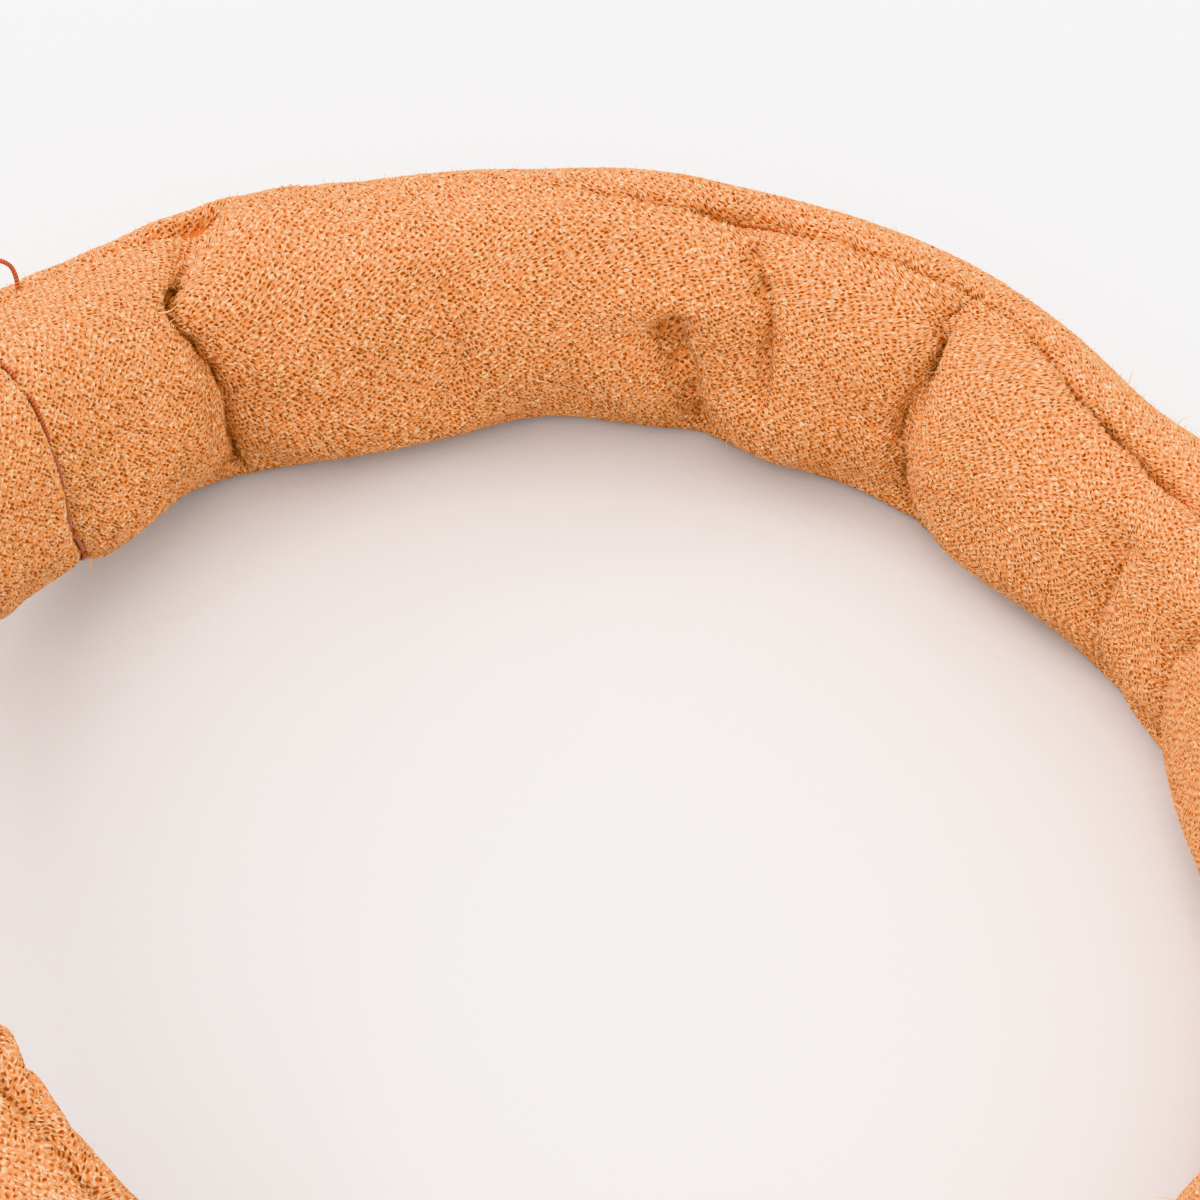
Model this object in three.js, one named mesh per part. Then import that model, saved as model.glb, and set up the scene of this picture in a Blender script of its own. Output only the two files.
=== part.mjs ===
// A padded spa headband: a knit tube filled with sponge, closed into a ring by a gathered elastic rear.
// It lies on a table with its long seam uppermost, its front toward +X and its left side toward +Y, and
// its rear arches clear of the table. Millimetres, +Z up. The origin is on the table, under the middle
// of the band's outline.

import * as THREE from "three";

// The ring, relaxed. Angles are seen from above: 0 is the middle of the front, and they grow toward +Y.
const RING_HALF_LENGTH = 86.5; // front to back, to the middle of the band's section
const RING_HALF_WIDTH = 88.5; // side to side
const REAR_HALF_ANGLE = THREE.MathUtils.degToRad(36); // the elastic rear reaches this far each way
const ARCH_RISE = 21.5; // how far the middle of the rear stands clear of the table
const ARCH_HALF_ANGLE = THREE.MathUtils.degToRad(76); // the arch starts this far from the rear's middle

// The band's section: an oval that is taller than it is thick, with a flat strip underneath.
const BAND_THICKNESS = 26; // from the head outward
const BAND_HEIGHT = 41;
const ROUNDNESS = 2.4; // 2 is an ellipse, and a higher number is squarer
const REST_HALF_WIDTH = 4; // the flat strip under the band
const REAR_THICKNESS = 17; // at the middle of the rear, where the elastic gathers it
const REAR_HEIGHT = 33;
const FABRIC = 1.5; // thickness of the knit terry
const SIDE_POINTS = 10; // corners on each side of an oval

// The long seam on top: the fabric's two edges turn down into the band, side by side.
const DITCH_HALF_WIDTH = 2.5;
const DITCH_DEPTH = 2.2;
const LIP_GAP_HALF = 0.6; // half the gap between the two turned edges
const LIP_DEPTH = 2.5;
const LIP_FLARE = 0.9; // how far a turned edge leans out toward its own wall
const SEAM_THREAD_RADIUS = 0.25;

// The two joints, where the front meets the rear: both tubes draw in, and a thread lies in the groove.
const JOINT_NECK = 0.93; // the section's scale at a joint
const JOINT_SHOULDER = 3; // length over which a tube draws in
const JOINT_THREAD_RADIUS = 0.3;
const LOOSE_LOOP_HEIGHT = 3.2; // the slack loop of thread on top of the left joint
const LOOSE_LOOP_REACH = 2.6;

// Inside the band.
const TOUCH = 0.3; // gap left between two pieces that touch
const FOAM_EASE = 0.4; // gap between the sponge and the fabric
const FOAM_SHORT = 13; // the sponge stops this far from a joint
const ELASTIC_HEIGHT = 20;
const ELASTIC_THICKNESS = 1.5;
const ELASTIC_LAY = 0.6; // gap between the elastic's edges and the rounded wall on the head's side
const ELASTIC_REACH = 11; // how far each end of the elastic reaches into the front
const BARTACK_HEIGHT = 14;
const BARTACK_WIDTH = 2.4;
const BARTACK_THICKNESS = 0.8;
const BARTACK_FROM_END = 2.5; // from the elastic's end to the bar tack

const REAR_MIDDLE = Math.PI;
const LEFT_JOINT = REAR_MIDDLE - REAR_HALF_ANGLE;
const RIGHT_JOINT = REAR_MIDDLE + REAR_HALF_ANGLE;
const MM_PER_RADIAN = (RING_HALF_LENGTH + RING_HALF_WIDTH) / 2; // distance along the band per turn
const FRONT_LENGTH = 2 * LEFT_JOINT * MM_PER_RADIAN;
const REAR_LENGTH = 2 * REAR_HALF_ANGLE * MM_PER_RADIAN;
const FULL_SIZE = { thick: 1, tall: 1, shift: 0 };

// ---- The band's path round the head ----

// Height of the section's middle above the table, and its slope per radian of turn.
function archAt(angle) {
  const fromRear = THREE.MathUtils.euclideanModulo(angle, 2 * Math.PI) - REAR_MIDDLE;
  if (Math.abs(fromRear) >= ARCH_HALF_ANGLE) return { height: REST_HEIGHT, slope: 0 };
  const rate = Math.PI / 2 / ARCH_HALF_ANGLE;
  const turn = rate * fromRear;
  return {
    height: REST_HEIGHT + ARCH_RISE * Math.cos(turn) ** 2,
    slope: -ARCH_RISE * rate * Math.sin(2 * turn),
  };
}

// The section's place at an angle: its middle, the way out from the head, and the way up across the band.
function sectionAt(angle) {
  const { height, slope } = archAt(angle);
  const cos = Math.cos(angle);
  const sin = Math.sin(angle);
  const middle = new THREE.Vector3(RING_HALF_LENGTH * cos, RING_HALF_WIDTH * sin, height);
  const along = new THREE.Vector3(RING_HALF_LENGTH * sin, -RING_HALF_WIDTH * cos, -slope).normalize();
  const out = new THREE.Vector3(-along.y, along.x, 0).normalize();
  const up = new THREE.Vector3().crossVectors(along, out);
  return { middle, out, along, up };
}

// Bends a straight extrusion, whose length runs along Z, clockwise round the ring from startAngle.
// stationAt gives the distance of each step, and sizeAt the section's scale and sideways shift there.
function bendRound(straight, { startAngle, length, steps, stationAt, sizeAt }) {
  const position = straight.getAttribute("position");
  for (let i = 0; i < position.count; i++) {
    const step = Math.round((position.getZ(i) / length) * steps);
    const distance = stationAt(step);
    const { thick, tall, shift } = sizeAt(distance);
    const { middle, out, up } = sectionAt(startAngle - distance / MM_PER_RADIAN);
    middle.addScaledVector(out, position.getX(i) * thick + shift);
    middle.addScaledVector(up, position.getY(i) * tall);
    position.setXYZ(i, middle.x, middle.y, middle.z);
  }
  straight.computeVertexNormals();
  return straight;
}

// A body of the given section round part of the ring.
function bandBody(shape, { startAngle, length, steps, shoulder = 0, sizeAt = () => FULL_SIZE }) {
  const straight = new THREE.ExtrudeGeometry(shape, { depth: length, steps, bevelEnabled: false });
  const evenStep = (length - 2 * shoulder) / (shoulder ? steps - 2 : steps);
  const stationAt = (step) => {
    if (!shoulder) return step * evenStep;
    if (step === 0) return 0;
    if (step === steps) return length;
    return shoulder + (step - 1) * evenStep;
  };
  return bendRound(straight, { startAngle, length, steps, stationAt, sizeAt });
}

// ---- Sections, with x outward from the head and y up ----

// A point on the right side of an oval: 0 is its widest point, and a quarter turn is its top.
function ovalPoint(thickness, height, turn) {
  const power = 2 / ROUNDNESS;
  const x = (thickness / 2) * Math.cos(turn) ** power;
  const y = (height / 2) * Math.sign(turn) * Math.abs(Math.sin(turn)) ** power;
  return new THREE.Vector2(x, y);
}

// The turn at which an oval's side comes within x of its middle.
function turnAt(thickness, x) {
  return Math.acos((x / (thickness / 2)) ** (ROUNDNESS / 2));
}

// An oval's right side, from the flat strip underneath up to topX beside its top.
function ovalSide(thickness, height, topX) {
  const low = -turnAt(thickness, REST_HALF_WIDTH);
  const high = turnAt(thickness, topX);
  return Array.from({ length: SIDE_POINTS }, (_, i) =>
    ovalPoint(thickness, height, THREE.MathUtils.lerp(low, high, i / (SIDE_POINTS - 1))),
  );
}

// A closed shape from its right side, listed from the bottom round to where it meets its mirror image.
function mirroredShape(rightSide) {
  const leftSide = rightSide.map((p) => new THREE.Vector2(-p.x, p.y)).reverse();
  return new THREE.Shape([...rightSide, ...leftSide]);
}

const REST_HEIGHT = -ovalSide(BAND_THICKNESS, BAND_HEIGHT, DITCH_HALF_WIDTH)[0].y;
const LIP_TOP = BAND_HEIGHT / 2 - DITCH_DEPTH;
const LIP_BOTTOM = LIP_TOP - LIP_DEPTH;
const LIP_OUTSIDE = LIP_GAP_HALF + FABRIC;

// The knit strip folded into a tube, with both its edges turned down into the seam on top.
function coverShape() {
  const lining = ovalSide(BAND_THICKNESS - 2 * FABRIC, BAND_HEIGHT - 2 * FABRIC, LIP_OUTSIDE + LIP_FLARE);
  const face = ovalSide(BAND_THICKNESS, BAND_HEIGHT, DITCH_HALF_WIDTH);
  const lip = [
    new THREE.Vector2(LIP_GAP_HALF, LIP_TOP),
    new THREE.Vector2(LIP_GAP_HALF, LIP_BOTTOM),
    new THREE.Vector2(LIP_OUTSIDE, LIP_BOTTOM),
  ];
  const right = [...face, ...lip, ...lining.reverse()];
  const left = right.map((p) => new THREE.Vector2(-p.x, p.y)).reverse();
  return new THREE.Shape([...right, ...left]);
}

// The sponge fills the tube, with a notch that clears the turned edges.
function foamShape() {
  const ease = 2 * (FABRIC + FOAM_EASE);
  const notch = LIP_OUTSIDE + FOAM_EASE;
  const side = ovalSide(BAND_THICKNESS - ease, BAND_HEIGHT - ease, notch + LIP_FLARE);
  return mirroredShape([...side, new THREE.Vector2(notch, LIP_BOTTOM - FOAM_EASE)]);
}

function rectangleShape(width, height) {
  return mirroredShape([new THREE.Vector2(width / 2, -height / 2), new THREE.Vector2(width / 2, height / 2)]);
}

// A six-sided thread, centred at a height above the section's middle.
function threadShape(radius, height = 0) {
  const shape = new THREE.Shape();
  for (let i = 0; i < 6; i++) {
    const turn = (i * Math.PI) / 3;
    const x = radius * Math.cos(turn);
    const y = height + radius * Math.sin(turn);
    if (i === 0) shape.moveTo(x, y);
    else shape.lineTo(x, y);
  }
  return shape;
}

// ---- How the section's size changes along the band ----

// 1 along most of a tube, and down to the neck over its last few millimetres at either end.
function neckScale(distance, length) {
  const fromEnd = Math.min(distance, length - distance);
  if (fromEnd >= JOINT_SHOULDER) return 1;
  return THREE.MathUtils.lerp(JOINT_NECK, 1, Math.max(fromEnd, 0) / JOINT_SHOULDER);
}

// The rear narrows smoothly from both joints toward its middle.
function rearTaper(distance) {
  const along = THREE.MathUtils.clamp(distance / REAR_LENGTH, 0, 1);
  const narrowing = Math.sin(Math.PI * along) ** 2;
  return {
    thick: THREE.MathUtils.lerp(1, REAR_THICKNESS / BAND_THICKNESS, narrowing),
    tall: THREE.MathUtils.lerp(1, REAR_HEIGHT / BAND_HEIGHT, narrowing),
  };
}

function frontSize(distance) {
  const neck = neckScale(distance, TUBE_LENGTH.front);
  return { thick: neck, tall: neck, shift: 0 };
}

function rearSize(distance) {
  const taper = rearTaper(distance);
  const neck = neckScale(distance, TUBE_LENGTH.rear);
  return { thick: taper.thick * neck, tall: taper.tall * neck, shift: 0 };
}

// How far the wall on the head's side stands from the section's middle, at the elastic's edges.
function wallReach(taper) {
  const halfThick = (BAND_THICKNESS / 2 - FABRIC) * taper.thick * JOINT_NECK;
  const halfTall = (BAND_HEIGHT / 2 - FABRIC) * taper.tall * JOINT_NECK;
  const edge = Math.min(ELASTIC_HEIGHT / 2 / halfTall, 0.95);
  return halfThick * (1 - edge ** ROUNDNESS) ** (1 / ROUNDNESS);
}

// The elastic keeps its own size and lies against the head's side of the tube.
function elasticShift(distanceFromJoint) {
  return -(wallReach(rearTaper(distanceFromJoint)) - ELASTIC_LAY - ELASTIC_THICKNESS / 2);
}

const TUBE_LENGTH = { front: FRONT_LENGTH - TOUCH, rear: REAR_LENGTH - TOUCH };
const TUBE_START = {
  front: LEFT_JOINT - TOUCH / 2 / MM_PER_RADIAN,
  rear: RIGHT_JOINT - TOUCH / 2 / MM_PER_RADIAN,
};

// ---- Pieces ----

const knit = { color: 0xe9a469, roughness: 0.95, metalness: 0 };
const sponge = { color: 0xf3ead2, roughness: 1, metalness: 0 };
const elasticWeave = { color: 0xf4f1ea, roughness: 0.7, metalness: 0 };
const orangeThread = { color: 0xb5622c, roughness: 0.6, metalness: 0 };
const paleThread = { color: 0xe59a5c, roughness: 0.6, metalness: 0 };

function piece(name, geometry, look) {
  const mesh = new THREE.Mesh(geometry, new THREE.MeshStandardMaterial(look));
  mesh.name = name;
  return mesh;
}

function frontCover() {
  const geometry = bandBody(coverShape(), {
    startAngle: TUBE_START.front,
    length: TUBE_LENGTH.front,
    steps: 56,
    shoulder: JOINT_SHOULDER,
    sizeAt: frontSize,
  });
  return piece("front_cover", geometry, knit);
}

function foamCore() {
  const geometry = bandBody(foamShape(), {
    startAngle: LEFT_JOINT - FOAM_SHORT / MM_PER_RADIAN,
    length: FRONT_LENGTH - 2 * FOAM_SHORT,
    steps: 42,
  });
  return piece("foam_core", geometry, sponge);
}

function rearSleeve() {
  const geometry = bandBody(coverShape(), {
    startAngle: TUBE_START.rear,
    length: TUBE_LENGTH.rear,
    steps: 20,
    shoulder: JOINT_SHOULDER,
    sizeAt: rearSize,
  });
  return piece("rear_sleeve", geometry, knit);
}

function rearElastic() {
  const geometry = bandBody(rectangleShape(ELASTIC_THICKNESS, ELASTIC_HEIGHT), {
    startAngle: RIGHT_JOINT + ELASTIC_REACH / MM_PER_RADIAN,
    length: REAR_LENGTH + 2 * ELASTIC_REACH,
    steps: 26,
    sizeAt: (distance) => ({ thick: 1, tall: 1, shift: elasticShift(distance - ELASTIC_REACH) }),
  });
  return piece("rear_elastic", geometry, elasticWeave);
}

// The thread that holds the two turned edges together, between them.
function longSeamThread(name, startAngle, length, steps, sizeAt) {
  const height = LIP_TOP - LIP_DEPTH / 2;
  const geometry = bandBody(threadShape(SEAM_THREAD_RADIUS, height), { startAngle, length, steps, sizeAt });
  return piece(name, geometry, paleThread);
}

function frontSeamThread() {
  const short = JOINT_SHOULDER + TOUCH;
  const start = LEFT_JOINT - short / MM_PER_RADIAN;
  return longSeamThread("front_seam_thread", start, FRONT_LENGTH - 2 * short, 70);
}

function rearSeamThread() {
  const short = JOINT_SHOULDER + TOUCH;
  const start = RIGHT_JOINT - short / MM_PER_RADIAN;
  const sizeAt = (distance) => ({ ...rearTaper(distance + short), shift: 0 });
  return longSeamThread("rear_seam_thread", start, REAR_LENGTH - 2 * short, 20, sizeAt);
}

// A point near a joint: on the neck's oval, raised above the fabric and moved along the band.
function jointPoint(angle, turn, raised, along = 0) {
  const reach = raised + TOUCH + JOINT_THREAD_RADIUS;
  const side = Math.cos(turn) < 0 ? -1 : 1;
  const mirroredTurn = Math.asin(Math.sin(turn));
  const onOval = ovalPoint(
    BAND_THICKNESS * JOINT_NECK + 2 * reach,
    BAND_HEIGHT * JOINT_NECK + 2 * reach,
    mirroredTurn,
  );
  const section = sectionAt(angle);
  return section.middle
    .addScaledVector(section.out, side * onOval.x)
    .addScaledVector(section.up, onOval.y)
    .addScaledVector(section.along, along);
}

// The thread in a joint's groove starts and ends on top, on either side of the long seam.
function jointThreadPoints(angle) {
  const first = THREE.MathUtils.degToRad(104);
  const last = THREE.MathUtils.degToRad(436);
  return Array.from({ length: 27 }, (_, i) => jointPoint(angle, THREE.MathUtils.lerp(first, last, i / 26), 0));
}

// The slack at the left joint: the thread rises beside the seam and comes back down to its groove.
function looseLoopPoints(angle) {
  const degrees = THREE.MathUtils.degToRad;
  return [
    jointPoint(angle, degrees(74), 1.6, 0.4 * LOOSE_LOOP_REACH),
    jointPoint(angle, degrees(80), LOOSE_LOOP_HEIGHT, LOOSE_LOOP_REACH),
    jointPoint(angle, degrees(90), LOOSE_LOOP_HEIGHT, 0.6 * LOOSE_LOOP_REACH),
    jointPoint(angle, degrees(98), 1.2, 0.1 * LOOSE_LOOP_REACH),
  ];
}

function threadAlong(points, steps) {
  const extrudePath = new THREE.CatmullRomCurve3(points);
  return new THREE.ExtrudeGeometry(threadShape(JOINT_THREAD_RADIUS), { steps, extrudePath });
}

function leftJointThread() {
  const points = [...looseLoopPoints(LEFT_JOINT), ...jointThreadPoints(LEFT_JOINT)];
  return piece("left_joint_thread", threadAlong(points, 72), orangeThread);
}

function rightJointThread() {
  return piece("right_joint_thread", threadAlong(jointThreadPoints(RIGHT_JOINT), 60), orangeThread);
}

// A bar tack lies on the elastic's outer face, close to its end inside the front.
function bartack(name, startAngle) {
  const shift = elasticShift(0) + (ELASTIC_THICKNESS + BARTACK_THICKNESS) / 2 + TOUCH;
  const geometry = bandBody(rectangleShape(BARTACK_THICKNESS, BARTACK_HEIGHT), {
    startAngle,
    length: BARTACK_WIDTH,
    steps: 1,
    sizeAt: () => ({ thick: 1, tall: 1, shift }),
  });
  return piece(name, geometry, paleThread);
}

function leftBartack() {
  const intoFront = ELASTIC_REACH - BARTACK_FROM_END - BARTACK_WIDTH;
  return bartack("left_bartack", LEFT_JOINT - intoFront / MM_PER_RADIAN);
}

function rightBartack() {
  const intoFront = ELASTIC_REACH - BARTACK_FROM_END;
  return bartack("right_bartack", RIGHT_JOINT + intoFront / MM_PER_RADIAN);
}

// ---- The headband ----

const headband = new THREE.Group();
headband.add(
  frontCover(),
  foamCore(),
  rearSleeve(),
  rearElastic(),
  frontSeamThread(),
  rearSeamThread(),
  leftJointThread(),
  rightJointThread(),
  leftBartack(),
  rightBartack(),
);

// The thin rear reaches less far back than the front reaches forward, so the ring moves to centre it.
const outline = new THREE.Box3().setFromObject(headband);
headband.position.x = -(outline.min.x + outline.max.x) / 2;
headband.position.y = -(outline.min.y + outline.max.y) / 2;

export default headband;
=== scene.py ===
# %% [markdown]
# # A padded spa headband
# The headband is a knit terry tube filled with sponge. A gathered sleeve over a strap of elastic closes
# it into a ring. The frame holds its sizes and its hidden parts. This script makes the soft skin round
# them: the creased, padded front, the gathered rear, the sewing and the fuzz of the cloth.

# %% Load the frame
import math

import bpy
import numpy as np
from mathutils import Matrix, Vector


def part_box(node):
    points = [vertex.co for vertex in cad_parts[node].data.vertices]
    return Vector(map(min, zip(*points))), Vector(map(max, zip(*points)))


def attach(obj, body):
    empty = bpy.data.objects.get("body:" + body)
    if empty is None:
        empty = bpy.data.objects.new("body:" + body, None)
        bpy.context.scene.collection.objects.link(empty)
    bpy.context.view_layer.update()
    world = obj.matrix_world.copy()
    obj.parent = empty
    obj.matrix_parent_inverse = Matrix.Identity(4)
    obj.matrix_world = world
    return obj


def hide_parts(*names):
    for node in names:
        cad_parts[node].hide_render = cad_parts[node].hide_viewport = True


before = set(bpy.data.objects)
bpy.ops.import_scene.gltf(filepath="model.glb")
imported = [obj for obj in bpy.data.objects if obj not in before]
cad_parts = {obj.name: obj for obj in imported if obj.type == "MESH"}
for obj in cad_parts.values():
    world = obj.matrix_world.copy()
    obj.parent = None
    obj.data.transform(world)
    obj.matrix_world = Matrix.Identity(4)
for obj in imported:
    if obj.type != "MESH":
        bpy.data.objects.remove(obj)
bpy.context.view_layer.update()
print("frame holds", sorted(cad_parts))

# %% [markdown]
# The ring's path has to be the frame's own path, or the skin would not lie on the sponge. A curve object
# with a bevel could follow it, but a formula gives every point of the skin a place and a name, which the
# creases, the seams and the knit all need. So the band is worked out from the same few sizes.

# %% Sizes of the band, in metres
MM = 0.001
RING_HALF_LENGTH = 86.5 * MM
RING_HALF_WIDTH = 88.5 * MM
BAND_THICKNESS = 26 * MM
BAND_HEIGHT = 41 * MM
ROUNDNESS = 2.4
REST_HALF_WIDTH = 4 * MM
REAR_THICKNESS = 17 * MM
REAR_HEIGHT = 33 * MM
REAR_HALF_ANGLE = math.radians(36)
ARCH_RISE = 21.5 * MM
ARCH_HALF_ANGLE = math.radians(76)

METRES_PER_RADIAN = (RING_HALF_LENGTH + RING_HALF_WIDTH) / 2
LEFT_JOINT = math.pi - REAR_HALF_ANGLE
RIGHT_JOINT = math.pi + REAR_HALF_ANGLE
FRONT_LENGTH = 2 * LEFT_JOINT * METRES_PER_RADIAN
REAR_LENGTH = 2 * REAR_HALF_ANGLE * METRES_PER_RADIAN
REST_SHARE = 1 - (2 * REST_HALF_WIDTH / BAND_THICKNESS) ** ROUNDNESS
REST_HEIGHT = BAND_HEIGHT / 2 * REST_SHARE ** (1 / ROUNDNESS)

front_low, front_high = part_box("front_cover")
RING_CENTRE_X = front_high.x - BAND_THICKNESS / 2 - RING_HALF_LENGTH
print(f"front {FRONT_LENGTH / MM:.0f} mm, rear {REAR_LENGTH / MM:.0f} mm")
print(f"ring centre x {RING_CENTRE_X / MM:.2f} mm")

# %% [markdown]
# ## The camera
# A long lens from about half a metre looks down on the ring and frames the left part of it, where the
# long seam, the creases and the cross seam are all in sight. It leans a little, as a hand-held camera
# does.

# %% Camera
VIEW_AZIMUTH = math.radians(-16.5)
VIEW_ELEVATION = math.radians(50.9)
VIEW_DISTANCE = 0.4605
VIEW_LEAN = math.radians(10)
LENS_MM = 107.8
aim = Vector((RING_CENTRE_X + 9.9 * MM, 53.7 * MM, 0))


def view_axes(azimuth, elevation):
    """The camera's forward, right and up directions for a level camera."""
    flat = Vector((-math.sin(azimuth), math.cos(azimuth), 0))
    forward = flat * math.cos(elevation) - Vector((0, 0, math.sin(elevation)))
    right = forward.cross(Vector((0, 0, 1))).normalized()
    return forward, right, right.cross(forward)


forward, right, up = view_axes(VIEW_AZIMUTH, VIEW_ELEVATION)
camera_right = right * math.cos(VIEW_LEAN) + up * math.sin(VIEW_LEAN)
camera_up = up * math.cos(VIEW_LEAN) - right * math.sin(VIEW_LEAN)
turn = Matrix((camera_right, camera_up, -forward)).transposed().to_4x4()
camera = bpy.data.objects.new("camera", bpy.data.cameras.new("camera"))
camera.data.lens = LENS_MM
camera.data.sensor_width = 36
camera.data.clip_start = 0.01
camera.matrix_world = Matrix.Translation(aim - forward * VIEW_DISTANCE) @ turn
bpy.context.scene.collection.objects.link(camera)
bpy.context.scene.camera = camera
print("camera at", [round(c, 3) for c in camera.location])

# %% [markdown]
# ## The band's path and section
# A point of the skin is named by two numbers: its distance along the band from the left joint, and its
# turn round the section, where 0 is the outer side, a quarter turn is the top, and half a turn is the
# side that touches the head.


# %% Path and section
def arch(angle):
    """Height of the section's middle, and its slope, where the rear stands clear of the table."""
    from_rear = np.mod(angle, 2 * np.pi) - np.pi
    rate = np.pi / 2 / ARCH_HALF_ANGLE
    inside = np.abs(from_rear) < ARCH_HALF_ANGLE
    height = REST_HEIGHT + np.where(inside, ARCH_RISE * np.cos(rate * from_rear) ** 2, 0)
    slope = np.where(inside, -ARCH_RISE * rate * np.sin(2 * rate * from_rear), 0)
    return height, slope


def unit(vectors):
    return vectors / np.linalg.norm(vectors, axis=-1, keepdims=True)


def sections(angle):
    """Middle, outward, upward and along-the-band directions at each angle round the ring."""
    height, slope = arch(angle)
    cos, sin, flat = np.cos(angle), np.sin(angle), np.zeros_like(angle)
    middle = np.stack([RING_CENTRE_X + RING_HALF_LENGTH * cos, RING_HALF_WIDTH * sin, height], -1)
    along = unit(np.stack([RING_HALF_LENGTH * sin, -RING_HALF_WIDTH * cos, -slope], -1))
    out = unit(np.stack([-along[..., 1], along[..., 0], flat], -1))
    return middle, out, np.cross(along, out), along


def oval(turn):
    """The section's outline and its outward direction, as shares of half the band's size."""
    power = 2 / ROUNDNESS
    x = np.sign(np.cos(turn)) * np.abs(np.cos(turn)) ** power
    y = np.sign(np.sin(turn)) * np.abs(np.sin(turn)) ** power
    y = np.maximum(y, -REST_HEIGHT / (BAND_HEIGHT / 2))
    nx = np.sign(x) * np.abs(x) ** (ROUNDNESS - 1) / BAND_THICKNESS
    ny = np.sign(y) * np.abs(y) ** (ROUNDNESS - 1) / BAND_HEIGHT
    return x, y, unit(np.stack([nx, ny], -1))


def even_turns(count):
    """Turns that are evenly spaced along the outline, from the top over the outer side and round."""
    turn = np.linspace(math.pi / 2, -1.5 * math.pi, 8001)
    x, y, _ = oval(turn)
    step = np.hypot(np.diff(x) * BAND_THICKNESS / 2, np.diff(y) * BAND_HEIGHT / 2)
    walked = np.concatenate([[0], np.cumsum(step)])
    return np.interp(np.arange(count) / count * walked[-1], walked, turn), walked[-1]


SECTION_LENGTH = even_turns(4)[1]
print(f"the cloth goes {SECTION_LENGTH / MM:.1f} mm round the section")


# %% Smooth helpers
def smooth(low, high, value):
    """0 below low, 1 above high, and a smooth rise between."""
    t = np.clip((value - low) / (high - low), 0, 1)
    return t * t * (3 - 2 * t)


def window(low, high, value, soft):
    """1 between low and high, fading to 0 over soft at both ends."""
    return smooth(low - soft, low, value) * (1 - smooth(high, high + soft, value))


def ripples(value, wavelength, seed, count=5):
    """A smooth, uneven wave from about -1 to 1, the same each time for the same seed."""
    rng = np.random.default_rng(seed)
    total = np.zeros_like(value)
    for _ in range(count):
        length = wavelength * rng.uniform(0.7, 1.6)
        total += np.sin(2 * np.pi * value / length + rng.uniform(0, 2 * np.pi))
    return total / count ** 0.5


# %% [markdown]
# ## Creases
# Bending padded cloth into a ring leaves the side by the head too long, so it buckles into creases that
# start there and die out toward the outside. They could be sculpted by hand, or left to a simulation, but
# then nobody could say where one ends up. So each crease is a line over the section, given by the
# distance along the band at a few turns, with a depth, the side to which it rolls, and how far its lip
# hangs over. Where a crease is tight only low down, it also says from which turn.

# %% Creases of the front: distance in millimetres at each turn in degrees
CREASES = [
    {"line": [(60, 42), (80, 38.5), (94, 35), (106, 32.5), (118, 31.3), (136, 33), (162, 37.6), (180, 41.5),
              (225, 47)],
     "depth": 5.2, "lip": 4.8, "side": 1, "turns": (58, 240), "tight": 86},
    {"line": [(140, 72), (175, 75), (210, 72)],
     "depth": 1.2, "lip": 0.4, "side": 1, "turns": (135, 205)},
    {"line": [(157, 106), (170, 105), (184, 108), (225, 112)],
     "depth": 4.6, "lip": 0.8, "side": 1, "turns": (163, 250)},
    {"line": [(88, 114), (119, 116), (146, 119), (200, 121)],
     "depth": 3.6, "lip": 2.2, "side": 1, "turns": (82, 182), "tight": 100},
    {"line": [(88, 142.6), (104, 142.6), (120, 143.6), (145, 144.2), (168, 142.6), (182, 142),
              (225, 145)],
     "depth": 5.6, "lip": 5.2, "side": 1, "turns": (94, 245)},
    {"line": [(150, 181), (194, 180), (225, 184)],
     "depth": 2.2, "lip": 1.6, "side": 1, "turns": (150, 240)},
    {"line": [(120, 202), (157, 198), (177, 195), (225, 197)],
     "depth": 3.2, "lip": 2.6, "side": 1, "turns": (130, 240)},
    {"line": [(120, 236), (180, 239), (225, 236)],
     "depth": 2.4, "lip": 1.2, "side": -1, "turns": (130, 230)},
    {"line": [(80, 276), (130, 272), (180, 268), (225, 264)],
     "depth": 3.8, "lip": 3.2, "side": -1, "turns": (88, 240)},
    {"line": [(120, 304), (180, 306), (220, 308)],
     "depth": 2.2, "lip": 1.0, "side": 1, "turns": (140, 225)},
    {"line": [(85, 341), (140, 337), (190, 341), (225, 346)],
     "depth": 3.8, "lip": 3.0, "side": -1, "turns": (92, 240)},
    {"line": [(120, 374), (180, 376), (220, 373)],
     "depth": 1.8, "lip": 0.6, "side": 1, "turns": (135, 220)},
    {"line": [(70, 402), (120, 408), (180, 402), (225, 396)],
     "depth": 4.0, "lip": 3.4, "side": -1, "turns": (72, 240)},
]
TURN_FADE = math.radians(24)
NEAR_REACH = 9 * MM
FAR_REACH = 5 * MM

# %% Soft swellings and hollows between the creases
# Each is a distance and a turn, a height, and its reach along and round.
SWELLINGS = [
    (46, 70, 2.6, 14, 45), (60, 200, 1.0, 16, 50), (92, 215, -2.4, 11, 35), (155, 200, 1.6, 12, 50),
    (135, 215, -1.4, 8, 40), (166, 60, -1.6, 26, 60), (20, 215, 1.4, 12, 40), (215, 180, 1.2, 12, 50),
    (255, 190, 1.2, 12, 50), (290, 200, 1.0, 14, 50), (322, 180, 1.2, 12, 50), (388, 200, 1.2, 12, 50),
]


def crease_offset(crease, distance, turn):
    """How far a point is past the crease's line toward its rolled side, and the crease's strength."""
    turn = np.mod(turn, 2 * np.pi)
    turns, places = np.array(crease["line"], float).T
    line = np.interp(turn, np.radians(turns), places * MM)
    low, high = np.radians(crease["turns"])
    strength = window(low + TURN_FADE / 2, high - TURN_FADE / 2, turn, TURN_FADE)
    return (distance - line) * crease["side"], strength


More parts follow.
